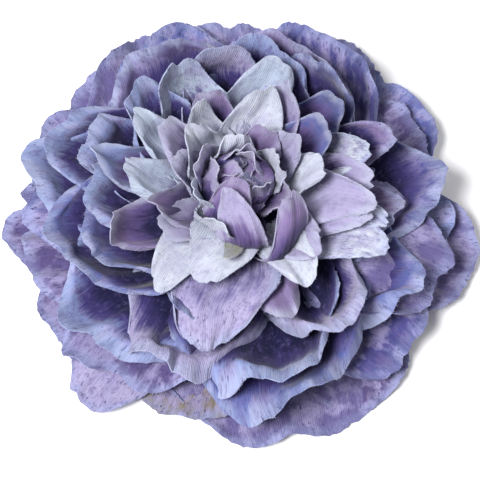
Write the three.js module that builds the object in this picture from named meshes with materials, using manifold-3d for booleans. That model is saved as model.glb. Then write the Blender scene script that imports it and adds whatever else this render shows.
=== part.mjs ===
// Fabric peony flower head, lying on its back with its face up.
//
// Die-cut rosettes of fabric are threaded on one plastic peg, from the wide flat ones at the back
// to the small cupped ones in the heart. Short plastic spacers lift each group of rosettes above
// the one behind it. The peg's foot is pushed into a calyx, whose flat base rests on the table.
//
// Millimetres, +Z up. The origin is the middle of the calyx's flat base.

import * as THREE from "three";
import Module from "manifold-3d";
import { mergeVertices } from "three/addons/utils/BufferGeometryUtils.js";

const wasm = await Module();
wasm.setup();

// ---- driving dimensions ---------------------------------------------------------------------

const CLEARANCE = 0.3; // air between two pieces that touch
const FABRIC_THICKNESS = 0.6;
const LAYER_PITCH = 1.2; // from one rosette's hub to the next on the peg
const SPACER_HEIGHT = 2.0;

const PEG_RADIUS = 1.3;
const HOLE_RADIUS = PEG_RADIUS + 0.4; // the hole punched in the middle of every rosette
const PEG_HEAD_RADIUS = 2.8;
const PEG_HEAD_HEIGHT = 2.4;
const PEG_LEAD_IN = 0.8; // the length of the cone on the peg's foot
const CROWN_HEIGHT = 0.3; // how far the peg head's middle stands above its shoulder
const SPACER_RADIUS = 4;
const HUB_RADIUS = 4.5; // the flat disc in the middle of every rosette

const CALYX_BASE_RADIUS = 9;
const CALYX_RADIUS = 11;
const CALYX_HEIGHT = 4.2;
const CALYX_CHAMFER = 1;
const SOCKET_FLOOR = 1.2; // the height at which the calyx's blind hole ends
const SEPAL_COUNT = 5;
const SEPAL_REACH = 25; // from the axis to a sepal's point
const SEPAL_WIDTH = 11;
const SEPAL_THICKNESS = 0.8;
const SEPAL_HEIGHT = 2.6;
const SEPAL_OVERLAP = 1; // how far a sepal starts inside the cup's wall

const STEPS_PER_LOBE = 6;
const STEPS_ALONG_LOBE = 5; // one over the hub and the rest along the lobe
const NOTCH_DEPTH = 0.55; // how far the slit between two lobes runs in from the rim
const LOBE_ROUNDNESS = 0.6; // a lobe's end is rounder the smaller this is
const RIM_SWEEP = THREE.MathUtils.degToRad(84); // how far round its quarter ellipse a lobe runs

// The rosettes from the back to the heart, in the groups that a spacer divides. Each has its
// number of lobes, the direction of its first lobe in degrees, and its rim's radius and height.
const LAYER_GROUPS = [
  {
    name: "outer_layer",
    fabric: { color: 0x7b74a8, roughness: 0.86 },
    layers: [
      { lobes: 6, turn: 44, rimRadius: 63, rimHeight: 2 },
      { lobes: 5, turn: 2, rimRadius: 62, rimHeight: 5 },
      { lobes: 5, turn: 49, rimRadius: 60, rimHeight: 9.5 },
      { lobes: 5, turn: 52, rimRadius: 55, rimHeight: 15 },
    ],
  },
  {
    name: "middle_layer",
    fabric: { color: 0x8f93c8, roughness: 0.84 },
    layers: [
      { lobes: 6, turn: 50, rimRadius: 51, rimHeight: 20.5 },
      { lobes: 7, turn: 24, rimRadius: 47, rimHeight: 25 },
      { lobes: 7, turn: 47, rimRadius: 43, rimHeight: 28.5 },
      { lobes: 7, turn: 24, rimRadius: 40, rimHeight: 31 },
    ],
  },
  {
    name: "inner_layer",
    fabric: { color: 0xb6b8de, roughness: 0.82 },
    layers: [
      { lobes: 8, turn: 11, rimRadius: 36, rimHeight: 33 },
      { lobes: 7, turn: 35, rimRadius: 29.5, rimHeight: 36 },
      { lobes: 7, turn: 54, rimRadius: 26, rimHeight: 37.5 },
      { lobes: 6, turn: 30, rimRadius: 17, rimHeight: 38.5 },
    ],
  },
  {
    name: "heart_layer",
    fabric: { color: 0xcfcfe6, roughness: 0.8 },
    layers: [
      { lobes: 6, turn: 15, rimRadius: 13, rimHeight: 39.5 },
      { lobes: 5, turn: 35, rimRadius: 10.5, rimHeight: 40 },
      { lobes: 5, turn: 60, rimRadius: 8.5, rimHeight: 40 },
      { lobes: 4, turn: 30, rimRadius: 6.5, rimHeight: 39.5 },
    ],
  },
];

const GREEN_PLASTIC = { color: 0x8a8f4a, roughness: 0.5 };
const CLEAR_PLASTIC = { color: 0xd8dcd0, roughness: 0.35 };

// ---- helpers --------------------------------------------------------------------------------

function addPiece(name, geometry, { color, roughness }) {
  const material = new THREE.MeshStandardMaterial({ color, roughness, metalness: 0 });
  const mesh = new THREE.Mesh(geometry, material);
  mesh.name = name;
  flower.add(mesh);
  return mesh;
}

// A lathe turns about +Y, so its result is stood up along +Z.
function turned(profile, segments) {
  const points = profile.map(([radius, height]) => new THREE.Vector2(radius, height));
  return new THREE.LatheGeometry(points, segments).rotateX(Math.PI / 2);
}

function toSolid(geometry) {
  const plain = geometry.clone();
  plain.deleteAttribute("normal");
  plain.deleteAttribute("uv");
  const merged = mergeVertices(plain, 1e-4);
  const mesh = new wasm.Mesh({
    numProp: 3,
    vertProperties: new Float32Array(merged.attributes.position.array),
    triVerts: new Uint32Array(merged.index.array),
  });
  return new wasm.Manifold(mesh);
}

function toGeometry(solid) {
  const { vertProperties, triVerts } = solid.getMesh();
  const geometry = new THREE.BufferGeometry();
  geometry.setAttribute("position", new THREE.BufferAttribute(vertProperties, 3));
  geometry.setIndex(new THREE.BufferAttribute(triVerts, 1));
  geometry.computeVertexNormals();
  return geometry;
}

// ---- fabric rosettes ------------------------------------------------------------------------

// The share of its full length that a rosette has in one direction: 1 in the middle of a lobe,
// and least in the slit between two.
function lobeShare(angle, lobes, turn) {
  const swing = Math.abs(Math.cos(((angle - turn) * lobes) / 2)) ** LOBE_ROUNDNESS;
  return 1 - NOTCH_DEPTH * (1 - swing);
}

// A point of the rosette's lower face (side 0) or upper face (side 1). Step 0 is the edge of the
// hole, and from step 1, the edge of the flat hub, the section is a quarter of an ellipse.
function bowlPoint(layer, hubHeight, angle, step, side) {
  const offset = FABRIC_THICKNESS * side;
  if (step === 0) {
    return [HOLE_RADIUS * Math.cos(angle), HOLE_RADIUS * Math.sin(angle), hubHeight + offset];
  }
  const turn = THREE.MathUtils.degToRad(layer.turn);
  const tipSweep = RIM_SWEEP * lobeShare(angle, layer.lobes, turn);
  const sweep = (tipSweep * (step - 1)) / (STEPS_ALONG_LOBE - 1);
  const reach = layer.rimRadius - HUB_RADIUS;
  const rise = layer.rimHeight - hubHeight;
  const slope = new THREE.Vector2(reach * Math.cos(sweep), rise * Math.sin(sweep)).normalize();
  const radius = HUB_RADIUS + reach * Math.sin(sweep) - slope.y * offset;
  const height = hubHeight + rise * (1 - Math.cos(sweep)) + slope.x * offset;
  return [radius * Math.cos(angle), radius * Math.sin(angle), height];
}

// A closed ring: every direction holds one thin loop, out along the lower face and back along
// the upper one, and the loops are joined all the way round.
function rosette(layer, hubHeight) {
  const directions = layer.lobes * STEPS_PER_LOBE;
  const loop = 2 * (STEPS_ALONG_LOBE + 1);
  const positions = [];
  for (let i = 0; i < directions; i++) {
    const angle = (2 * Math.PI * i) / directions + THREE.MathUtils.degToRad(layer.turn);
    for (let j = 0; j < loop; j++) {
      const side = j <= STEPS_ALONG_LOBE ? 0 : 1;
      const step = side === 0 ? j : loop - 1 - j;
      positions.push(...bowlPoint(layer, hubHeight, angle, step, side));
    }
  }
  const index = [];
  for (let i = 0; i < directions; i++) {
    const next = (i + 1) % directions;
    for (let j = 0; j < loop; j++) {
      const above = (j + 1) % loop;
      const corners = [i * loop + j, i * loop + above, next * loop + above, next * loop + j];
      index.push(corners[0], corners[2], corners[1], corners[0], corners[3], corners[2]);
    }
  }
  const geometry = new THREE.BufferGeometry();
  geometry.setAttribute("position", new THREE.Float32BufferAttribute(positions, 3));
  geometry.setIndex(index);
  geometry.computeVertexNormals();
  return geometry;
}

// ---- plastic pieces -------------------------------------------------------------------------

function spacer(bottom) {
  return turned(
    [
      [HOLE_RADIUS, bottom],
      [SPACER_RADIUS, bottom],
      [SPACER_RADIUS, bottom + SPACER_HEIGHT],
      [HOLE_RADIUS, bottom + SPACER_HEIGHT],
      [HOLE_RADIUS, bottom],
    ],
    20,
  );
}

// The peg: a straight pin with a domed head that keeps the rosettes on.
function peg(headBottom) {
  const foot = SOCKET_FLOOR + CLEARANCE;
  const top = headBottom + PEG_HEAD_HEIGHT;
  return turned(
    [
      [0, foot],
      [PEG_RADIUS * 0.6, foot],
      [PEG_RADIUS, foot + PEG_LEAD_IN],
      [PEG_RADIUS, headBottom],
      [PEG_HEAD_RADIUS, headBottom],
      [PEG_HEAD_RADIUS, headBottom + PEG_HEAD_HEIGHT / 3],
      [PEG_HEAD_RADIUS * 0.7, top - CROWN_HEIGHT],
      [0, top],
    ],
    16,
  );
}

// The calyx's cup, with a blind hole in its upper face for the peg.
function calyxCup() {
  return turned(
    [
      [0, 0],
      [CALYX_BASE_RADIUS, 0],
      [CALYX_RADIUS, SEPAL_HEIGHT],
      [CALYX_RADIUS, CALYX_HEIGHT - CALYX_CHAMFER / 2],
      [CALYX_RADIUS - CALYX_CHAMFER, CALYX_HEIGHT],
      [HOLE_RADIUS, CALYX_HEIGHT],
      [HOLE_RADIUS, SOCKET_FLOOR],
      [0, SOCKET_FLOOR],
    ],
    30,
  );
}

// One pointed sepal along +X, from inside the cup's wall to its tip.
function sepal() {
  const root = CALYX_BASE_RADIUS - SEPAL_OVERLAP;
  const half = SEPAL_WIDTH / 2;
  const waist = SEPAL_REACH * 0.7;
  const outline = new THREE.Shape();
  outline.moveTo(root, -half * 0.6);
  outline.quadraticCurveTo(waist, -half * 1.3, SEPAL_REACH, 0);
  outline.quadraticCurveTo(waist, half * 1.3, root, half * 0.6);
  outline.closePath();
  const options = { depth: SEPAL_THICKNESS, bevelEnabled: false, curveSegments: 5 };
  return new THREE.ExtrudeGeometry(outline, options).translate(0, 0, SEPAL_HEIGHT);
}

function calyx() {
  let solid = toSolid(calyxCup());
  for (let i = 0; i < SEPAL_COUNT; i++) {
    const leaf = sepal().rotateZ((2 * Math.PI * i) / SEPAL_COUNT);
    solid = solid.add(toSolid(leaf));
  }
  return toGeometry(solid);
}

// ---- the flower head ------------------------------------------------------------------------

const flower = new THREE.Group();

addPiece("calyx", calyx(), GREEN_PLASTIC);

let hubHeight = CALYX_HEIGHT + 2 * CLEARANCE;
LAYER_GROUPS.forEach((group, groupIndex) => {
  if (groupIndex > 0) {
    const bottom = hubHeight - LAYER_PITCH + FABRIC_THICKNESS + CLEARANCE;
    addPiece(`spacer_${groupIndex}`, spacer(bottom), CLEAR_PLASTIC);
    hubHeight = bottom + SPACER_HEIGHT + CLEARANCE;
  }
  group.layers.forEach((layer, layerIndex) => {
    addPiece(`${group.name}_${layerIndex + 1}`, rosette(layer, hubHeight), group.fabric);
    hubHeight += LAYER_PITCH;
  });
});

const headBottom = hubHeight - LAYER_PITCH + FABRIC_THICKNESS + CLEARANCE;
addPiece("centre_peg", peg(headBottom), GREEN_PLASTIC);

export default flower;
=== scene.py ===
"""Fabric peony flower head: the looks of every petal layer and plastic piece, round the CAD frame."""

import math

import bpy
import numpy as np
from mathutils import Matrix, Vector


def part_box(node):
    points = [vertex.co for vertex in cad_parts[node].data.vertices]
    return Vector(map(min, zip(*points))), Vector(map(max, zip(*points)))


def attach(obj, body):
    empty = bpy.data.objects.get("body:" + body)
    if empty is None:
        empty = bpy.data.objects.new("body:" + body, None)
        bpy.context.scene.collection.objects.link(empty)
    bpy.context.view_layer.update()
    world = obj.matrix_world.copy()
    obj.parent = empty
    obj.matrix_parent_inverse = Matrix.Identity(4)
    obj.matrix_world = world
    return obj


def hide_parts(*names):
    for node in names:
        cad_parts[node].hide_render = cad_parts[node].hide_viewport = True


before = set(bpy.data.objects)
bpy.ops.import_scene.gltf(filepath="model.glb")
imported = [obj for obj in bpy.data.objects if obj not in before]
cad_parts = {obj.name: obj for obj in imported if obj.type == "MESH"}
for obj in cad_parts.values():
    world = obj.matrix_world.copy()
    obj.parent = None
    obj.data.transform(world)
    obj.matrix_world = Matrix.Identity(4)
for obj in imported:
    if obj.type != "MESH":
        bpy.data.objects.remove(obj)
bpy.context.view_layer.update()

MM = 0.001

# ---- driving sizes, in millimetres ----------------------------------------------------------

FABRIC_THICKNESS = 0.32
PETAL_GAP = 0.25  # kept between the floor and the lowest petal edge
HUB_RADIUS = 5.5  # the disc in the middle of a layer, which its lobes grow from
PEG_HOLE_RADIUS = 1.7
LAYER_PITCH = 1.2  # from one layer's hub to the next on the peg
CALYX_GAP = 0.9  # from the calyx's top to the middle of the first hub
HUB_HALF = 0.3  # from a CAD hub's lower face to its middle
EDGE_TEETH = 0.36  # how far the cut edge wanders in and out
GRID_PITCH = 1.15  # the wanted distance between two points of a petal's mesh
SMALL_LOBE = 30  # a lobe narrower than this has a finer mesh
SMALL_LOBE_GRID = 0.65  # as a share of the usual pitch
NARROW_LOBE = 25  # a lobe narrower than this has a rounder tip and lower ruffles
NARROW_LOBE_WAVE = 0.75
LOW_RISE = 8  # a lobe that rises less than this hardly leans sideways
ROLL_WIDTH = 5.0  # how far in from the cut edge the roll reaches
TIP_REST = 0.97  # a lobe's length in its middle, as a share of the length that it is cut from
MOST_LEAN = 0.2  # how far a lobe may lean sideways, as a share of its length
CRUMPLE = 0.55  # how far the slow swells push the fabric
FRAY_SPACING = 0.55  # between two thread ends along a cut edge
FRAY_LENGTH = 0.7
FRAY_RADIUS = 0.05
FRAY_GRIP = 0.15  # how deep a thread end starts inside the cloth
SEED = 7

# ---- dye colours (linear) -------------------------------------------------------------------


def srgb(red, green, blue):
    """A linear colour from the usual 0 to 255 screen values."""
    return tuple((value / 255) ** 2.2 for value in (red, green, blue))


DYES = {
    "grey": srgb(108, 100, 150),
    "plum": srgb(92, 80, 128),
    "blue": srgb(96, 106, 172),
    "deep": srgb(72, 72, 138),
    "sky": srgb(142, 156, 208),
    "lilac": srgb(184, 176, 214),
    "mauve": srgb(144, 124, 172),
    "ice": srgb(198, 212, 234),
    "white": srgb(216, 222, 236),
    "moss": srgb(150, 152, 84),
    "olive": srgb(140, 128, 112),
}

DYE_STRENGTH = 0.78  # how much of the light the dyed cloth gives back, against plain white

# How far in from the rim a lobe keeps its own colour, in mm, before its darker foot begins: partly the
# foot's dye, partly painted shade of the hollows.
PALE_BAND = {"outer": 18, "middle": 6.5, "inner": 7, "heart": 6}
DYE_BAND = {"white": 2.6, "ice": 2.2, "lilac": 1.4, "moss": 4}  # times as much on the pale ones
FACE_UP_BAND = 2.2  # times as much on a lobe that lies open, face up

# ---- the petal plan -------------------------------------------------------------------------
# Each lobe: direction in degrees (0 to the right, 90 to the back), then its rim's distance from
# the peg, its rim's height and its width, in mm, and its dye. The rest is how it is formed:
# leave  degrees above level at which it leaves the hub
# tip    degrees above level at which it ends: 90 is upright, more leans over the heart, less
#        than 0 droops
# cup    degrees that each side bends up (+) or down (-) across the width
# roll   how far the cut edge rolls back, in mm
# wave   height of the ruffles along the rim, in mm

PLAN = {
    "outer_layer_1": [
        (180, 64, 2, 48, "plum", 0, -5, 12, 0, 1.6),
        (232, 67, 2, 32, "lilac", 0, 0, 12, 0, 2.0),
        (284, 65, 2.5, 70, "grey", 0, 0, 14, 0, 1.4),
        (351, 66, 4, 48, "grey", 0, 5, 14, 0, 1.4),
        (42, 61, 8, 68, "blue", 0, 25, 20, 0, 1.4),
        (104, 61, 8, 70, "grey", 0, 15, 18, 0, 1.6),
    ],
    "outer_layer_2": [
        (146, 64, 6, 58, "grey", 0, 10, 18, 0, 2.0),
        (216, 60, 2.5, 46, "plum", 0, 5, 18, 0, 2.0),
        (309, 63, 3, 50, "plum", 0, 5, 18, 0, 1.8),
        (5, 58, 9, 46, "sky", 0, 20, 20, 0, 1.5),
        (74, 63, 6, 62, "grey", 0, 15, 18, 0, 1.8),
    ],
    "outer_layer_3": [
        (121, 61, 12, 58, "grey", 0, 30, 24, 0, 1.8),
        (192, 58, 6, 46, "plum", 0, 15, 24, 1, 2.0),
        (252, 59, 4, 54, "olive", 0, 5, 22, 0, 1.8),
        (318, 59, 12, 50, "deep", 0, 80, 36, 2.5, 1.2),
        (26, 57, 10, 48, "plum", 0, 20, 22, 0, 1.8),
    ],
    "outer_layer_4": [
        (48, 52, 22, 56, "deep", 0, 80, 34, 1.5, 1.4),
        (118, 56, 16, 50, "blue", 0, 60, 34, 1, 1.6),
        (172, 55, 14, 44, "deep", 0, 70, 38, 2, 2.0),
        (228, 58, 14, 54, "plum", 0, 75, 32, 2, 2.2),
        (338, 59, 15, 44, "grey", 20, -15, -10, 0, 1.8),
    ],
    "middle_layer_1": [
        (62, 45, 28, 50, "mauve", 0, 95, 38, 1.5, 1.2),
        (126, 47, 26, 46, "plum", 0, 85, 36, 2.5, 2.0),
        (176, 51, 24, 42, "sky", 0, 80, 36, 4, 2.2),
        (228, 53, 21, 50, "sky", 0, 90, 36, 4, 2.4),
        (290, 55, 21, 58, "blue", 0, 92, 36, 4, 2.2),
        (358, 52, 23, 44, "deep", 5, 75, 36, 3, 2.0),
    ],
    "middle_layer_2": [
        (24, 43, 33, 22, "mauve", 15, 75, 55, 1, 1.0),
        (46, 41, 32, 40, "deep", 0, 95, 42, 1.5, 1.0),
        (150, 50, 28, 36, "sky", 5, 80, 60, 2, 1.0),
        (204, 47, 28, 42, "blue", 0, 90, 38, 3, 2.0),
        (250, 49, 26, 40, "lilac", 0, 92, 38, 4, 2.2),
        (287, 50, 27, 44, "sky", 0, 95, 38, 4, 2.2),
        (324, 51, 25, 36, "blue", 0, 85, 38, 3, 1.8),
    ],
    "middle_layer_3": [
        (340, 44, 27, 26, "mauve", 15, 60, 30, 1, 1.4),
        (70, 41, 32, 36, "sky", 5, 92, 60, 1.5, 0.8),
        (98, 38, 35, 30, "lilac", 5, 92, 62, 0.5, 0.4),
        (166, 42, 32, 28, "sky", 5, 78, 58, 2, 1.6),
        (209, 40, 27, 36, "blue", 5, 70, 48, 2, 1.6),
        (262, 46, 25, 27, "lilac", 30, -5, 22, -1, 2.4),
        (306, 44, 30, 32, "lilac", 0, 92, 44, 3, 1.8),
    ],
    "middle_layer_4": [
        (347, 40, 31.5, 18, "white", 20, 40, 40, 0, 0.8),
        (22, 36, 34, 20, "white", 20, 65, 52, 0, 0.8),
        (121, 36, 37, 28, "ice", 5, 88, 64, 0.5, 0.4),
        (146, 38, 35, 26, "sky", 10, 82, 60, 1.5, 1.4),
        (188, 38, 31, 30, "sky", 10, 65, 48, 2, 1.6),
        (244, 37, 29, 22, "deep", 5, 75, 40, 1, 1.4),
        (325, 42, 32, 20, "white", 20, 25, 30, 0, 1.2),
    ],
    "inner_layer_1": [
        (77, 35, 35, 24, "ice", 5, 90, 56, 1, 0.6),
        (48, 35, 34, 22, "blue", 5, 92, 56, 1, 0.8),
        (160, 35, 36, 18, "sky", 10, 80, 50, 2, 1.8),
        (210, 34, 33, 20, "mauve", 10, 80, 44, 1.5, 1.8),
        (238, 36, 31, 16, "white", 30, 20, 30, 0.5, 0.9),
        (284, 38, 28, 22, "mauve", 15, 30, 34, 1, 1.8),
        (331, 34, 34, 17, "lilac", 15, 40, 40, 1, 1.2),
        (8, 35, 34, 18, "lilac", 15, 70, 48, 1, 1.2),
    ],
    "inner_layer_2": [
        (355, 33, 36, 20, "lilac", 10, 45, 56, 1, 1.2),
        (100, 25, 37, 18, "mauve", 5, 92, 54, 0.5, 0.8),
        (36, 26, 37, 20, "blue", 10, 88, 56, 0.5, 0.8),
        (153, 31, 37, 17, "ice", 10, 80, 50, 2, 1.8),
        (185, 29, 36.5, 16, "ice", 15, 55, 45, 1, 1.4),
        (254, 30, 33.5, 18, "white", 35, 5, 24, 0, 0.8),
        (308, 32, 33.5, 17, "white", 25, 25, 36, 1, 1.6),
    ],
    "inner_layer_3": [
        (56, 26, 38, 18, "lilac", 5, 90, 56, 0.5, 1.0),
        (84, 23, 39, 18, "white", 5, 88, 54, 0.5, 1.0),
        (111, 23, 39, 14, "white", 5, 90, 56, 0.5, 0.4),
        (140, 24, 38.5, 18, "lilac", 10, 80, 50, 1.5, 1.6),
        (205, 23, 37, 17, "mauve", 10, 75, 50, 0.8, 1.4),
        (226, 24, 35.5, 17, "lilac", 12, 58, 44, 1, 1.4),
        (320, 27, 35.5, 17, "lilac", 15, 60, 46, 1, 1.6),
    ],
    "inner_layer_4": [
        (5, 20, 37, 16, "white", 15, 60, 46, 1, 1.6),
        (48, 15, 39, 16, "lilac", 8, 85, 50, 0.8, 1.4),
        (135, 19, 39.5, 18, "white", 10, 72, 44, 1, 1.6),
        (165, 18, 38, 16, "lilac", 10, 80, 48, 1, 1.4),
        (232, 15, 39.5, 14, "white", 5, 95, 50, 0.8, 1.2),
        (267, 22, 36, 6, "moss", 25, 50, 20, 0, 0.2),
        (296, 12, 41.5, 18, "mauve", 0, 136, 42, 0.5, 1.0),
    ],
    "heart_layer_1": [
        (70, 13, 38.5, 15, "mauve", 5, 85, 50, 0.5, 1.2),
        (110, 9, 39.5, 14, "white", 10, 75, 46, 1, 1.6),
        (150, 12, 40, 15, "lilac", 10, 80, 46, 0.8, 1.4),
        (200, 13, 38.5, 14, "ice", 8, 85, 48, 0.8, 1.4),
        (270, 7, 42, 16, "lilac", 0, 134, 44, 0.5, 1.0),
        (340, 13, 37.5, 14, "mauve", 10, 78, 48, 0.5, 1.4),
    ],
    "heart_layer_2": [
        (25, 10, 39, 14, "white", 8, 78, 46, 0.5, 1.6),
        (90, 5, 40, 14, "lilac", 8, 95, 48, 0.3, 1.4),
        (180, 6, 39.5, 14, "lilac", 8, 95, 48, 0.3, 1.4),
        (245, 3, 41, 15, "mauve", 4, 128, 44, 0.3, 1.2),
        (318, 7, 38, 14, "lilac", 4, 85, 50, 0.3, 1.4),
    ],
    "heart_layer_3": [
        (52, 4, 40, 13, "lilac", 12, 88, 50, 0.2, 1.2),
        (128, 0, 37.5, 13, "mauve", 12, 120, 50, 0.2, 1.0),
        (210, -1, 38, 13, "mauve", 10, 126, 48, 0.2, 1.0),
        (276, 3, 39, 13, "mauve", 10, 110, 58, 0.2, 0.4),
        (352, 3, 36, 13, "mauve", 10, 90, 54, 0.2, 1.2),
    ],
    "heart_layer_4": [
        (30, 0, 36, 13, "mauve", 30, 124, 52, 0.1, 0.8),
        (120, 1, 36.5, 13, "deep", 30, 118, 52, 0.1, 0.8),
        (210, 0, 35.5, 13, "mauve", 30, 124, 52, 0.1, 0.8),
        (300, 1, 37, 13, "deep", 30, 118, 52, 0.1, 0.8),
    ],
}

random = np.random.default_rng(SEED)


# ---- petal shapes ---------------------------------------------------------------------------


def smoothstep(low, high, value):
    """0 below low, 1 above high, and a soft ramp between them."""
    share = np.clip((value - low) / (high - low), 0, 1)
    return share * share * (3 - 2 * share)


def slope(degrees):
    """The unit step outwards and up at an angle above level."""
    angle = math.radians(degrees)
    return np.array([math.cos(angle), math.sin(angle)])


def midline(hub_height, reach, rim_height, leave, tip, count=60):
    """A lobe's middle line in its own radial plane: points, and the direction at each in radians."""
    start = np.array([HUB_RADIUS, hub_height])
    end = np.array([reach, rim_height])
    chord = np.linalg.norm(end - start)
    handle = chord * 0.45
    rise = rim_height - hub_height
    # an upright lobe's end must not pull its middle down under the hub
    if tip > 30 and rise > 0:
        steepness = max(math.sin(math.radians(tip)), 0.3)
        handle = min(handle, max(1.1 * rise / steepness, 3.0))
    belly = chord * (0.45 + 0.02 * max(0, tip - 90))
    first = start + belly * slope(leave)
    second = end - handle * slope(tip)
    t = np.linspace(0, 1, count)[:, None]
    line = (1 - t) ** 3 * start + 3 * (1 - t) ** 2 * t * first
    line = line + 3 * (1 - t) * t**2 * second + t**3 * end
    steps = np.gradient(line, axis=0)
    return line, np.unwrap(np.arctan2(steps[:, 1], steps[:, 0]))


def cut_pattern(length, width, rows, columns):
    """The flat cut of one lobe: a narrow foot, widest near two thirds, and a wavy round tip.

    Returns the pattern's coordinates, and for each point its share of the way out and across."""
    out = np.linspace(0, 1, rows)[:, None]
    across = np.linspace(-1, 1, columns)[None, :]
    foot = min(0.35, HUB_RADIUS * 0.9 / width)
    spread = foot + (0.5 - foot) * np.sin(np.clip(out / 0.78, 0, 1) * math.pi / 2) ** 0.9
    spread = spread * (1 - 0.14 * smoothstep(0.82, 1.0, out))
    phases = random.uniform(0, 2 * math.pi, 3)
    notch = random.uniform(0, 0.05) * np.exp(-(((across - random.uniform(-0.3, 0.3)) / 0.12) ** 2))
    scallop = 0.018 * np.sin(across * 4 + phases[0]) + 0.007 * np.sin(across * 9 + phases[1])
    depth, power = (0.42, 2.3) if width < NARROW_LOBE else (0.35, 2.8)
    tip = TIP_REST - depth * np.abs(across) ** power + scallop - notch
    teeth = random.uniform(-1, 1, columns)[None, :] * EDGE_TEETH / length
    flat_y = out * (tip + teeth * smoothstep(0.8, 1.0, out)) * length
    flat_x = across * spread * width
    side_teeth = random.uniform(-1, 1, (rows, 2)) * EDGE_TEETH * smoothstep(0.1, 0.3, out)
    flat_x[:, 0] += side_teeth[:, 0]
    flat_x[:, -1] += side_teeth[:, 1]
    edge = np.minimum((1 - out) * length, (1 - np.abs(across)) * spread * width)
    return np.stack([flat_x, flat_y], axis=-1), out, across, edge


def petal_points(hub_height, lobe):
    """The middle surface of one lobe that points along +X, in mm, with its flat pattern."""
    reach, rim_height, width = lobe[1:4]
    leave, tip, cup, roll, wave = lobe[5:]
    line, angles = midline(hub_height, reach, rim_height, leave, tip)
    rise = rim_height - hub_height
    along_line = np.concatenate([[0], np.cumsum(np.linalg.norm(np.diff(line, axis=0), axis=1))])
    length = along_line[-1] / TIP_REST
    pitch = GRID_PITCH * (SMALL_LOBE_GRID if width < SMALL_LOBE else 1)
    rows = max(12, int(length / pitch))
    columns = max(11, int(width / pitch) | 1)
    flat, out, across, edge = cut_pattern(length, width, rows, columns)
    flat_x, flat_y = flat[..., 0], flat[..., 1]

    radius = np.interp(flat_y, along_line, line[:, 0])
    height = np.interp(flat_y, along_line, line[:, 1])
    angle = np.interp(flat_y, along_line, angles)

    # the cross-section is an arc, nearly flat at the foot and closest at two thirds
    bend = math.radians(cup) / (width / 2) * (0.35 + 0.65 * smoothstep(0.0, 0.55, out))
    swing = flat_x * bend
    lean = random.uniform(-MOST_LEAN, MOST_LEAN) * (0.3 if rise < LOW_RISE else 1)
    sideways = np.sin(swing) / bend + lean * flat_y * smoothstep(0.2, 1.0, out)
    inwards = (1 - np.cos(swing)) / bend

    # ruffles and pleats, then the roll of the cut edge
    phases = random.uniform(0, 2 * math.pi, 5)
    side = smoothstep(0.5, 1.0, np.abs(across)) * smoothstep(0.2, 0.7, out)
    rim = np.maximum(smoothstep(0.5, 1.0, out), side)
    ruffle = np.sin(across * 4.2 + phases[0] + out * 1.5)
    ruffle = ruffle + 0.45 * np.sin(across * 7.5 + phases[1] - out * 2)
    ruffle = ruffle + 0.18 * np.sin(across * 15 + phases[2] + out * 4)
    pleat = np.sin(across * 11 + phases[3]) + 0.5 * np.sin(across * 23 + phases[4])
    back = np.clip(1 - edge / ROLL_WIDTH, 0, 1) ** 2 * smoothstep(0.25, 0.7, out)
    back = back * (1 + random.uniform(-0.8, 0.8) * across)
    wave = wave * (NARROW_LOBE_WAVE if width < NARROW_LOBE else 1)
    push = inwards + wave * (0.8 * rim * ruffle + 0.22 * pleat * smoothstep(0.1, 0.5, out)) - roll * back
    push = push + wave * random.uniform(-1.1, 1.1) * across * out
    x = radius - push * np.sin(angle)
    z = height + push * np.cos(angle)
    points = np.stack([x, sideways, z], axis=-1)
    from_tip = (1 - out) * length * (0.45 + 0.55 * (1 - np.abs(across) ** 2.5))
    return points, flat, from_tip, edge


def rim_lines(points):
    """The free cut edge of a lobe: points a little inside it, and the way out of the cloth at each."""
    bare = points.shape[0] // 3
    edge = np.concatenate([points[bare:, 0], points[-1, 1:-1], points[bare:, -1][::-1]])
    inner = np.concatenate([points[bare:, 1], points[-2, 1:-1], points[bare:, -2][::-1]])
    outwards = edge - inner
    outwards /= np.maximum(np.linalg.norm(outwards, axis=-1, keepdims=True), 1e-6)
    return edge - outwards * FRAY_GRIP, outwards


CRUMPLE_WAVES = [
    (random.normal(0, 1, 3) / random.uniform(4, 10), random.uniform(0, 2 * math.pi), random.normal(0, 1, 3))
    for _ in range(14)
]


def crumple(points):
    """Moves the whole head's fabric together in slow, irregular swells, so that layers keep apart."""
    moved = np.zeros_like(points)
    for wave_vector, phase, push in CRUMPLE_WAVES:
        moved += np.sin(points @ wave_vector + phase)[..., None] * push
    far = smoothstep(6, 22, np.linalg.norm(points[..., :2], axis=-1))[..., None]
    return points + moved * CRUMPLE * far * np.array([1.0, 1.0, 0.7])


def keep_above_floor(points):
    """Bends what would go under the floor back up onto it."""
    z = points[..., 2]
    soft = 1.2
    low = PETAL_GAP
    points[..., 2] = np.where(z < low + soft, low + soft * np.exp((z - low - soft) / soft), z)


def shell(points):
    """Closes a grid of points into a thin shell: vertices, faces and each vertex's grid index."""
    rows, columns = points.shape[:2]
    along = np.gradient(points, axis=0)
    aside = np.gradient(points, axis=1)
    normal = np.cross(aside, along)
    normal /= np.maximum(np.linalg.norm(normal, axis=-1, keepdims=True), 1e-9)
    half = normal * FABRIC_THICKNESS / 2
    count = rows * columns
    vertices = np.concatenate([(points + half).reshape(-1, 3), (points - half).reshape(-1, 3)])
    number = np.arange(count).reshape(rows, columns)
    a, b = number[:-1, :-1].ravel(), number[:-1, 1:].ravel()
    c, d = number[1:, 1:].ravel(), number[1:, :-1].ravel()
    upper = np.stack([a, b, c, d], axis=1)
    lower = np.stack([a, d, c, b], axis=1) + count
    loop = np.concatenate([number[0, :], number[1:, -1], number[-1, -2::-1], number[-2:0:-1, 0]])
    after = np.roll(loop, -1)
    rim = np.stack([after, loop, loop + count, after + count], axis=1)
    return vertices, np.concatenate([upper, lower, rim]), np.tile(np.arange(count), 2)


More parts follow.
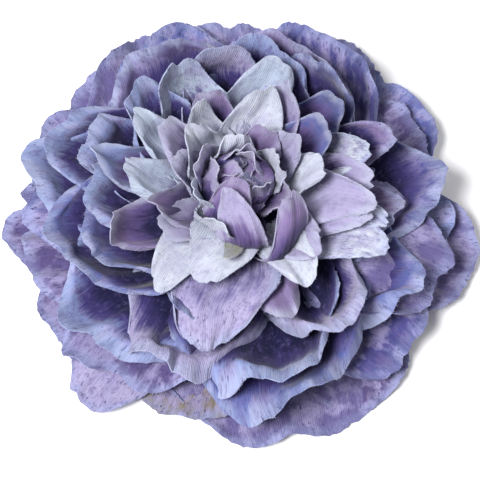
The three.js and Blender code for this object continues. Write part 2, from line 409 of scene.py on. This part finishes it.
def hub_disc(hub_height, steps=36):
    """The layer's disc with the peg's hole, as a closed shell."""
    turn = np.linspace(0, 2 * math.pi, steps, endpoint=False)
    corners = [
        (PEG_HOLE_RADIUS, -1),
        (HUB_RADIUS * 1.15, -1),
        (HUB_RADIUS * 1.15, 1),
        (PEG_HOLE_RADIUS, 1),
    ]
    vertices = []
    for radius, side in corners:
        z = np.full(steps, hub_height + side * FABRIC_THICKNESS / 2)
        vertices.append(np.stack([radius * np.cos(turn), radius * np.sin(turn), z], axis=1))
    faces = []
    for ring in range(4):
        here = ring * steps + np.arange(steps)
        there = ((ring + 1) % 4) * steps + np.arange(steps)
        faces.append(np.stack([here, there, np.roll(there, -1), np.roll(here, -1)], axis=1)[:, ::-1])
    return np.concatenate(vertices), np.concatenate(faces)


def turned_to(points, direction):
    """The points turned about the peg to a direction in degrees."""
    angle = math.radians(direction)
    cosine, sine = math.cos(angle), math.sin(angle)
    x = points[..., 0] * cosine - points[..., 1] * sine
    y = points[..., 0] * sine + points[..., 1] * cosine
    return np.stack([x, y, points[..., 2]], axis=-1)


def layer_mesh(name, lobes, hub_height):
    """One fabric layer as a plain mesh, with its attributes, and its flat width and area in mm."""
    parts = []
    rims = []
    spread_out = []
    area = math.pi * (HUB_RADIUS**2 - PEG_HOLE_RADIUS**2)
    for order, lobe in enumerate(lobes):
        direction, dye, tip = lobe[0], lobe[4], lobe[6]
        step = FABRIC_THICKNESS * 1.3 * (order % 2) - FABRIC_THICKNESS * 0.6
        points, flat, from_tip, edge = petal_points(hub_height + step, lobe)
        band = PALE_BAND[name.split("_")[0]] * (FACE_UP_BAND if abs(tip) < 50 else 1)
        band *= DYE_BAND.get(dye, 1)
        points = crumple(turned_to(points, direction))
        keep_above_floor(points)
        vertices, faces, source = shell(points)
        rims.append(rim_lines(points))
        area += shell_area(flat)
        spread_out.append(turned_to(flat_layout(flat), direction).reshape(-1, 3))
        parts.append(
            {
                "vertices": vertices,
                "faces": faces,
                "uv": flat.reshape(-1, 2)[source],
                "depth": (from_tip / band).reshape(-1)[source],
                "edge": edge.reshape(-1)[source],
                "tint": np.tile([*DYES[dye], 1.0], (len(vertices), 1)),
                "lot": np.full(len(vertices), random.uniform(0, 1)),
            }
        )
    # the hub disc sits deep between the layers, so its depth gives it the full painted indigo shade
    vertices, faces = hub_disc(hub_height)
    parts.append(
        {
            "vertices": vertices,
            "faces": faces,
            "uv": vertices[:, :2],
            "depth": np.full(len(vertices), 5.0),
            "edge": np.full(len(vertices), 5.0),
            "tint": np.tile([*DYES["deep"], 1.0], (len(vertices), 1)),
            "lot": np.zeros(len(vertices)),
        }
    )
    laid = np.concatenate(spread_out)
    size = (laid.max(axis=0) - laid.min(axis=0))[:2]
    return join_parts(name, parts), rims, size, area


def flat_layout(flat):
    """A lobe's flat pattern where it lies in the whole layer's cut, pointing along +X."""
    return np.stack([flat[..., 1] + HUB_RADIUS, flat[..., 0], np.zeros_like(flat[..., 0])], axis=-1)


def shell_area(flat):
    """The area of a flat pattern from its grid."""
    a, b = flat[:-1, :-1], flat[1:, 1:]
    c, d = flat[:-1, 1:], flat[1:, :-1]
    first, second = b - a, d - c
    return float(np.abs(first[..., 0] * second[..., 1] - first[..., 1] * second[..., 0]).sum() / 2)


def join_parts(name, parts):
    """One mesh object from several closed shells in mm."""
    offsets = np.cumsum([0] + [len(part["vertices"]) for part in parts[:-1]])
    vertices = np.concatenate([part["vertices"] for part in parts]) * MM
    faces = np.concatenate([part["faces"] + start for part, start in zip(parts, offsets)])
    mesh = bpy.data.meshes.new(name)
    mesh.from_pydata(vertices.tolist(), [], faces.tolist())
    mesh.update()
    uv = np.concatenate([part["uv"] for part in parts])
    corners = np.empty(len(mesh.loops), dtype=np.int32)
    mesh.loops.foreach_get("vertex_index", corners)
    uv_layer = mesh.uv_layers.new(name="pattern")
    uv_layer.data.foreach_set("uv", uv[corners].astype(np.float32).ravel())
    for key in ("depth", "edge", "lot"):
        attribute = mesh.attributes.new(key, "FLOAT", "POINT")
        values = np.concatenate([part[key] for part in parts])
        attribute.data.foreach_set("value", values.astype(np.float32))
    tint = mesh.attributes.new("tint", "FLOAT_COLOR", "POINT")
    values = np.concatenate([part["tint"] for part in parts])
    tint.data.foreach_set("color", values.astype(np.float32).ravel())
    mesh.shade_smooth()
    mesh.set_sharp_from_angle(angle=math.radians(50))
    piece = bpy.data.objects.new(name, mesh)
    bpy.context.scene.collection.objects.link(piece)
    return piece


# ---- materials ------------------------------------------------------------------------------


class Nodes:
    """Short calls for building a material's node tree."""

    def __init__(self, name):
        self.material = bpy.data.materials.new(name)
        self.material.use_nodes = True
        self.tree = self.material.node_tree
        self.tree.nodes.clear()

    def add(self, kind, **values):
        """A node, with its settings and its inputs' values or links."""
        node = self.tree.nodes.new(kind)
        for key, value in values.items():
            if key in node.bl_rna.properties:
                setattr(node, key, value)
        for key, value in values.items():
            if key not in node.bl_rna.properties:
                self.put(node, key.replace("_", " "), value)
        return node

    def put(self, node, key, value):
        """Sets or links one input, by its name or its number."""
        socket = node.inputs[int(key)] if key.strip().isdigit() else node.inputs[key]
        if isinstance(value, bpy.types.NodeSocket):
            self.tree.links.new(value, socket)
        else:
            socket.default_value = value

    def value(self, attribute):
        """A float attribute of the mesh."""
        return self.add("ShaderNodeAttribute", attribute_name=attribute).outputs["Fac"]

    def colour(self, attribute):
        """A colour attribute of the mesh."""
        return self.add("ShaderNodeAttribute", attribute_name=attribute).outputs["Color"]

    def math(self, operation, first, second=0.0):
        """One sum on two numbers."""
        node = self.add("ShaderNodeMath", operation=operation)
        self.put(node, "0", first)
        self.put(node, "1", second)
        return node.outputs[0]

    def ramp(self, value, low, high, start=0.0, end=1.0):
        """value moved from low..high to start..end, softly and without leaving it."""
        node = self.add("ShaderNodeMapRange", interpolation_type="SMOOTHSTEP")
        self.put(node, "Value", value)
        self.put(node, "From Min", low)
        self.put(node, "From Max", high)
        self.put(node, "To Min", start)
        self.put(node, "To Max", end)
        return node.outputs["Result"]

    def mix(self, share, first, second):
        """Two colours mixed."""
        node = self.add("ShaderNodeMix", data_type="RGBA")
        self.put(node, "0", share)
        self.put(node, "6", first)
        self.put(node, "7", second)
        return node.outputs[2]

    def noise(self, vector, scale, detail=3.0, roughness=0.55):
        """Cloudy noise on the given coordinates."""
        node = self.add("ShaderNodeTexNoise", Scale=scale, Detail=detail, Roughness=roughness)
        self.put(node, "Vector", vector)
        return node.outputs["Fac"]

    def bands(self, vector, direction, scale):
        """Slightly wavy parallel bands across one direction."""
        node = self.add("ShaderNodeTexWave", wave_type="BANDS", bands_direction=direction)
        self.put(node, "Scale", scale)
        self.put(node, "Distortion", 0.6)
        self.put(node, "Vector", vector)
        return node.outputs["Fac"]

    def stretched(self, vector, x, y, z=1.0):
        """Coordinates scaled by x, y and z."""
        node = self.add("ShaderNodeMapping")
        self.put(node, "Vector", vector)
        node.inputs["Scale"].default_value = (x, y, z)
        return node.outputs["Vector"]


def rgba(colour):
    """A colour with full cover."""
    return (*colour, 1.0)


def fabric(name, foot_dye_and_shade, rim_dye_and_highlight, rim_share, mottle, speckle, streak):
    """Woven, dyed polyester: threads, dye clouds, dark flecks, a deep foot that is partly dye and partly
    painted shade, and a pale cut edge that is partly undyed and partly a painted highlight.
    """
    nodes = Nodes(name)
    pattern = nodes.add("ShaderNodeUVMap", uv_map="pattern").outputs["UV"]
    lot = nodes.value("lot")
    shifted = nodes.add("ShaderNodeVectorMath", operation="ADD")
    nodes.put(shifted, "0", pattern)
    spread = nodes.add("ShaderNodeCombineXYZ")
    nodes.put(spread, "Z", nodes.math("MULTIPLY", lot, 90.0))
    nodes.put(shifted, "1", spread.outputs["Vector"])
    place = shifted.outputs["Vector"]
    depth = nodes.value("depth")
    edge = nodes.value("edge")

    clouds = nodes.noise(nodes.stretched(place, 0.20, 0.13), 1.0, 4.0, 0.6)
    blotches = nodes.noise(nodes.stretched(place, 0.55, 0.45), 1.0, 4.0, 0.7)
    streaks = nodes.noise(nodes.stretched(place, 1.5, 0.09), 1.0, 3.0, 0.65)
    fine = nodes.noise(nodes.stretched(place, 4.5, 0.35), 1.0, 2.0, 0.6)
    flecks = nodes.noise(nodes.stretched(place, 1.5, 0.55), 1.0, 3.0, 0.7)

    # the dye runs in along the threads from the foot, and the foot darkens further as painted shade of the
    # hollows, deepening to indigo at the hub
    runs = nodes.math("MULTIPLY", nodes.math("SUBTRACT", streaks, 0.5), 1.3)
    drift = nodes.math("MULTIPLY", nodes.math("SUBTRACT", clouds, 0.5), 1.6)
    dye_and_shade_depth = nodes.math("ADD", depth, nodes.math("ADD", runs, drift))
    colour = nodes.colour("tint")
    colour = nodes.mix(nodes.ramp(clouds, 0.42, 0.62, 0.0, mottle), colour, rgba(srgb(168, 160, 204)))
    colour = nodes.mix(nodes.ramp(clouds, 0.28, 0.46, mottle, 0.0), colour, rgba(srgb(108, 98, 152)))
    colour = nodes.mix(nodes.ramp(dye_and_shade_depth, 0.55, 1.5), colour, rgba(foot_dye_and_shade))
    # painted shade: the feet deepest in the hollows between layers turn near-black indigo
    colour = nodes.mix(nodes.ramp(dye_and_shade_depth, 1.25, 2.3), colour, rgba(srgb(28, 26, 66)))
    # the pale band along the cut edge: partly undyed cloth, partly a painted highlight on the raised rim
    pale = nodes.ramp(edge, 0.6, 4.5, 1.0, 0.0)
    pale = nodes.math("MULTIPLY", pale, nodes.ramp(clouds, 0.35, 0.6, rim_share * 0.45, rim_share))
    pale = nodes.math("MULTIPLY", pale, nodes.ramp(depth, 1.4, 0.7))
    colour = nodes.mix(pale, colour, rgba(rim_dye_and_highlight))
    dark = nodes.ramp(flecks, 0.56, 0.72, 0.0, speckle)
    colour = nodes.mix(dark, colour, rgba(srgb(66, 56, 104)))
    stains = nodes.ramp(blotches, 0.50, 0.68, 0.0, 0.12 + mottle * 0.45)
    colour = nodes.mix(stains, colour, rgba(srgb(104, 90, 148)))
    coarse_weave = nodes.math("MULTIPLY", streaks, streak)
    fine_weave = nodes.math("MULTIPLY", fine, streak * 0.6)
    weave = nodes.math("ADD", coarse_weave, fine_weave)
    shade = nodes.ramp(weave, streak * 0.35, streak * 1.25, 1 - 0.2 * streak, 1 + 0.16 * streak)
    bright = nodes.add("ShaderNodeVectorMath", operation="SCALE")
    nodes.put(bright, "0", colour)
    nodes.put(bright, "Scale", nodes.math("MULTIPLY", shade, DYE_STRENGTH))
    shader = nodes.add("ShaderNodeBsdfPrincipled")
    nodes.put(shader, "Base Color", bright.outputs["Vector"])
    shader.inputs["Sheen Weight"].default_value = 0.2
    shader.inputs["Sheen Roughness"].default_value = 0.45
    shader.inputs["Specular IOR Level"].default_value = 0.25

    warp = nodes.bands(place, "X", 0.62)
    weft = nodes.bands(place, "Y", 0.40)
    threads = nodes.math("MULTIPLY", warp, 0.5)
    threads = nodes.math("ADD", threads, nodes.math("MULTIPLY", weft, 0.12))
    relief = nodes.math("ADD", threads, nodes.math("MULTIPLY", streaks, 1.6))
    relief = nodes.math("ADD", relief, nodes.math("MULTIPLY", blotches, 1.2))
    bump = nodes.add("ShaderNodeBump", Strength=0.36, Distance=0.0004)
    nodes.put(bump, "Height", relief)
    nodes.put(shader, "Normal", bump.outputs["Normal"])
    nodes.put(shader, "Roughness", nodes.ramp(fine, 0.3, 0.7, 0.74, 0.92))

    glow = nodes.add("ShaderNodeBsdfTranslucent")
    nodes.put(glow, "Color", bright.outputs["Vector"])
    nodes.put(glow, "Normal", bump.outputs["Normal"])
    both = nodes.add("ShaderNodeMixShader", Fac=0.15)
    nodes.put(both, "1", shader.outputs["BSDF"])
    nodes.put(both, "2", glow.outputs["BSDF"])
    result = nodes.add("ShaderNodeOutputMaterial")
    nodes.put(result, "Surface", both.outputs["Shader"])
    return nodes.material


def moulded(name, base, light, roughness):
    """Moulded plastic with faint flow clouds and a fine grain."""
    nodes = Nodes(name)
    place = nodes.add("ShaderNodeTexCoord").outputs["Object"]
    clouds = nodes.noise(place, 160.0)
    grain = nodes.noise(place, 1800.0, 2.0)
    colour = nodes.mix(nodes.ramp(clouds, 0.35, 0.7), rgba(base), rgba(light))
    shader = nodes.add("ShaderNodeBsdfPrincipled")
    nodes.put(shader, "Base Color", colour)
    nodes.put(shader, "Roughness", nodes.ramp(grain, 0.3, 0.7, roughness - 0.08, roughness + 0.08))
    bump = nodes.add("ShaderNodeBump", Strength=0.2, Distance=0.0002)
    nodes.put(bump, "Height", grain)
    nodes.put(shader, "Normal", bump.outputs["Normal"])
    result = nodes.add("ShaderNodeOutputMaterial")
    nodes.put(result, "Surface", shader.outputs["BSDF"])
    return nodes.material


# each fabric: its foot colour (dye and painted shade), its rim colour (undyed edge and painted highlight),
# then rim share, mottle, speckle and streak
FABRICS = {
    "outer": fabric("outer_fabric", srgb(66, 56, 108), srgb(160, 170, 216), 0.6, 0.85, 1.0, 1.2),
    "middle": fabric("middle_fabric", srgb(66, 58, 116), srgb(180, 192, 226), 0.62, 0.70, 0.70, 1.05),
    "inner": fabric("inner_fabric", srgb(104, 88, 142), srgb(196, 202, 222), 0.6, 0.35, 0.30, 0.55),
    "heart": fabric("heart_fabric", srgb(112, 94, 146), srgb(202, 204, 224), 0.5, 0.35, 0.30, 0.55),
}


# ---- frayed thread ends ---------------------------------------------------------------------


def thread_finish():
    """Loose polyester ends: pale lilac to violet, changing from place to place."""
    nodes = Nodes("thread_ends")
    place = nodes.add("ShaderNodeTexCoord").outputs["Object"]
    patches = nodes.noise(place, 90.0, 3.0, 0.6)
    grain = nodes.noise(place, 1500.0, 2.0, 0.6)
    shader = nodes.add("ShaderNodeBsdfPrincipled")
    tone = nodes.ramp(patches, 0.35, 0.65)
    colour = nodes.mix(tone, rgba(srgb(132, 126, 176)), rgba(srgb(204, 208, 234)))
    nodes.put(shader, "Base Color", colour)
    nodes.put(shader, "Roughness", nodes.ramp(grain, 0.3, 0.7, 0.7, 0.95))
    bump = nodes.add("ShaderNodeBump", Strength=0.3, Distance=0.0001)
    nodes.put(bump, "Height", grain)
    nodes.put(shader, "Normal", bump.outputs["Normal"])
    result = nodes.add("ShaderNodeOutputMaterial")
    nodes.put(result, "Surface", shader.outputs["BSDF"])
    return nodes.material


def fray_tree():
    """A node group that sets tapered thread ends along lines, with its sizes as inputs."""
    tree = bpy.data.node_groups.new("frayed_edge", "GeometryNodeTree")
    inputs = [
        ("Lines", "NodeSocketGeometry"),
        ("Spacing", "NodeSocketFloat"),
        ("Length", "NodeSocketFloat"),
        ("Radius", "NodeSocketFloat"),
        ("Seed", "NodeSocketInt"),
        ("Finish", "NodeSocketMaterial"),
    ]
    for label, kind in inputs:
        tree.interface.new_socket(label, in_out="INPUT", socket_type=kind)
    tree.interface.new_socket("Threads", in_out="OUTPUT", socket_type="NodeSocketGeometry")

    def add(kind, **settings):
        node = tree.nodes.new(kind)
        for key, value in settings.items():
            setattr(node, key, value)
        return node

    def link(output, target):
        tree.links.new(output, target)

    given = add("NodeGroupInput").outputs
    curve = add("GeometryNodeMeshToCurve")
    link(given["Lines"], curve.inputs["Mesh"])
    spaced = add("GeometryNodeResampleCurve", mode="LENGTH")
    link(curve.outputs["Curve"], spaced.inputs["Curve"])
    link(given["Spacing"], spaced.inputs["Length"])

    chance = add("FunctionNodeRandomValue", data_type="BOOLEAN")
    chance.inputs["Probability"].default_value = 0.6
    link(given["Seed"], chance.inputs["Seed"])

    outwards = add("GeometryNodeInputNamedAttribute", data_type="FLOAT_VECTOR")
    outwards.inputs["Name"].default_value = "outwards"
    stray = add("FunctionNodeRandomValue", data_type="FLOAT_VECTOR")
    stray.inputs["Min"].default_value = (-0.7, -0.7, -0.7)
    stray.inputs["Max"].default_value = (0.7, 0.7, 0.7)
    link(given["Seed"], stray.inputs["Seed"])
    aim = add("ShaderNodeVectorMath", operation="ADD")
    link(outwards.outputs["Attribute"], aim.inputs[0])
    link(stray.outputs["Value"], aim.inputs[1])
    turn = add("FunctionNodeAlignRotationToVector", axis="Z")
    link(aim.outputs["Vector"], turn.inputs["Vector"])

    thread = add("GeometryNodeMeshCone")
    thread.inputs["Vertices"].default_value = 3
    thread.inputs["Radius Top"].default_value = 0.4
    thread.inputs["Radius Bottom"].default_value = 1.0
    thread.inputs["Depth"].default_value = 1.0
    share = add("FunctionNodeRandomValue", data_type="FLOAT")
    share.inputs[2].default_value = 0.3
    share.inputs[3].default_value = 1.0
    link(given["Seed"], share.inputs["Seed"])
    length = add("ShaderNodeMath", operation="MULTIPLY")
    link(given["Length"], length.inputs[0])
    link(share.outputs[1], length.inputs[1])
    size = add("ShaderNodeCombineXYZ")
    link(given["Radius"], size.inputs["X"])
    link(given["Radius"], size.inputs["Y"])
    link(length.outputs["Value"], size.inputs["Z"])

    copies = add("GeometryNodeInstanceOnPoints")
    link(spaced.outputs["Curve"], copies.inputs["Points"])
    link(chance.outputs[3], copies.inputs["Selection"])
    link(thread.outputs["Mesh"], copies.inputs["Instance"])
    link(turn.outputs["Rotation"], copies.inputs["Rotation"])
    link(size.outputs["Vector"], copies.inputs["Scale"])
    real = add("GeometryNodeRealizeInstances")
    link(copies.outputs["Instances"], real.inputs["Geometry"])
    dyed = add("GeometryNodeSetMaterial")
    link(real.outputs["Geometry"], dyed.inputs["Geometry"])
    link(given["Finish"], dyed.inputs["Material"])
    result = add("NodeGroupOutput")
    link(dyed.outputs["Geometry"], result.inputs["Threads"])
    return tree


FRAY_TREE = fray_tree()
THREAD_FINISH = thread_finish()


def frayed_threads(name, rims, seed):
    """The thread ends of one layer as a plain mesh, made by the node group along its cut edges."""
    points = np.concatenate([rim[0] for rim in rims]) * MM
    outwards = np.concatenate([rim[1] for rim in rims])
    edges = []
    start = 0
    for rim in rims:
        last = start + len(rim[0]) - 1
        edges.extend((number, number + 1) for number in range(start, last))
        start = last + 1
    lines = bpy.data.meshes.new(name)
    lines.from_pydata(points.tolist(), edges, [])
    attribute = lines.attributes.new("outwards", "FLOAT_VECTOR", "POINT")
    attribute.data.foreach_set("vector", outwards.astype(np.float32).ravel())
    piece = bpy.data.objects.new(name, lines)
    bpy.context.scene.collection.objects.link(piece)
    modifier = piece.modifiers.new("fray", "NODES")
    modifier.node_group = FRAY_TREE
    values = {
        "Spacing": FRAY_SPACING * MM,
        "Length": FRAY_LENGTH * MM,
        "Radius": FRAY_RADIUS * MM,
        "Seed": seed,
        "Finish": THREAD_FINISH,
    }
    for socket in FRAY_TREE.interface.items_tree:
        if socket.in_out == "INPUT" and socket.name in values:
            modifier[socket.identifier] = values[socket.name]
    evaluated = piece.evaluated_get(bpy.context.evaluated_depsgraph_get())
    mesh = bpy.data.meshes.new_from_object(evaluated)
    piece.modifiers.clear()
    piece.data = mesh
    return piece


# ---- build the layers -----------------------------------------------------------------------


def hub_heights():
    """Each layer's hub height in mm: its CAD node's foot, and from the calyx for the flat ones."""
    heights = {}
    calyx_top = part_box("calyx")[1][2] / MM
    for order, name in enumerate(PLAN):
        if name.startswith("outer"):
            heights[name] = calyx_top + CALYX_GAP + LAYER_PITCH * order
        else:
            heights[name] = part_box(name)[0][2] / MM + HUB_HALF
    return heights


def build_layers():
    """Every fabric layer with its thread ends, in place of its plain CAD solid."""
    for order, (name, hub_height) in enumerate(hub_heights().items()):
        group = name.split("_")[0]
        piece, rims, size, area = layer_mesh(name + "_petals", PLAN[name], hub_height)
        piece.data.materials.append(FABRICS[group])
        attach(piece, "root")
        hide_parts(name)
        threads = frayed_threads(name + "_thread_ends", rims, order)
        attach(threads, "root")


build_layers()

GREEN = moulded("green_plastic", srgb(98, 108, 52), srgb(124, 130, 70), 0.5)
CLEAR = moulded("clear_plastic", srgb(205, 208, 196), srgb(220, 222, 212), 0.38)
PLASTICS = {
    "calyx": GREEN,
    "centre_peg": GREEN,
    "spacer_1": CLEAR,
    "spacer_2": CLEAR,
    "spacer_3": CLEAR,
}
for node, finish in PLASTICS.items():
    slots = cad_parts[node].data.materials
    slots.clear()
    slots.append(finish)


# ---- floor, light and camera ----------------------------------------------------------------


def add_floor():
    """A plain pale floor."""
    bpy.ops.mesh.primitive_plane_add(size=6.0, location=(0, 0, 0))
    floor = bpy.context.object
    floor.name = "floor"
    material = bpy.data.materials.new("floor")
    material.use_nodes = True
    shader = material.node_tree.nodes["Principled BSDF"]
    shader.inputs["Base Color"].default_value = (0.93, 0.93, 0.94, 1)
    shader.inputs["Roughness"].default_value = 0.9
    floor.data.materials.append(material)


def add_light(name, location, size, power):
    """A round soft light that points at the middle of the floor."""
    data = bpy.data.lights.new(name, "AREA")
    data.shape = "DISK"
    data.size = size
    data.energy = power
    light = bpy.data.objects.new(name, data)
    light.location = location
    light.rotation_euler = (-Vector(location)).to_track_quat("-Z", "Y").to_euler()
    bpy.context.scene.collection.objects.link(light)


def add_camera():
    """A long lens that looks down from the front."""
    elevation = math.radians(68)
    lens = 120
    sensor = 36
    frame_width = 0.1296
    distance = frame_width * lens / sensor
    target = Vector((0, -0.009, 0.012))
    data = bpy.data.cameras.new("camera")
    data.lens = lens
    data.clip_start = 0.01
    camera = bpy.data.objects.new("camera", data)
    camera.location = target + distance * Vector((0, -math.cos(elevation), math.sin(elevation)))
    camera.rotation_euler = (target - camera.location).to_track_quat("-Z", "Y").to_euler()
    bpy.context.scene.collection.objects.link(camera)
    bpy.context.scene.camera = camera


add_floor()
add_light("key", (-0.4, -0.3, 0.88), 0.4, 17)
add_light("fill", (0.5, 0.6, 0.6), 0.9, 3)
world = bpy.data.worlds.new("studio")
world.use_nodes = True
world.node_tree.nodes["Background"].inputs["Color"].default_value = (1, 1, 1, 1)
world.node_tree.nodes["Background"].inputs["Strength"].default_value = 0.33
bpy.context.scene.world = world
bpy.context.scene.view_settings.view_transform = "Standard"
add_camera()
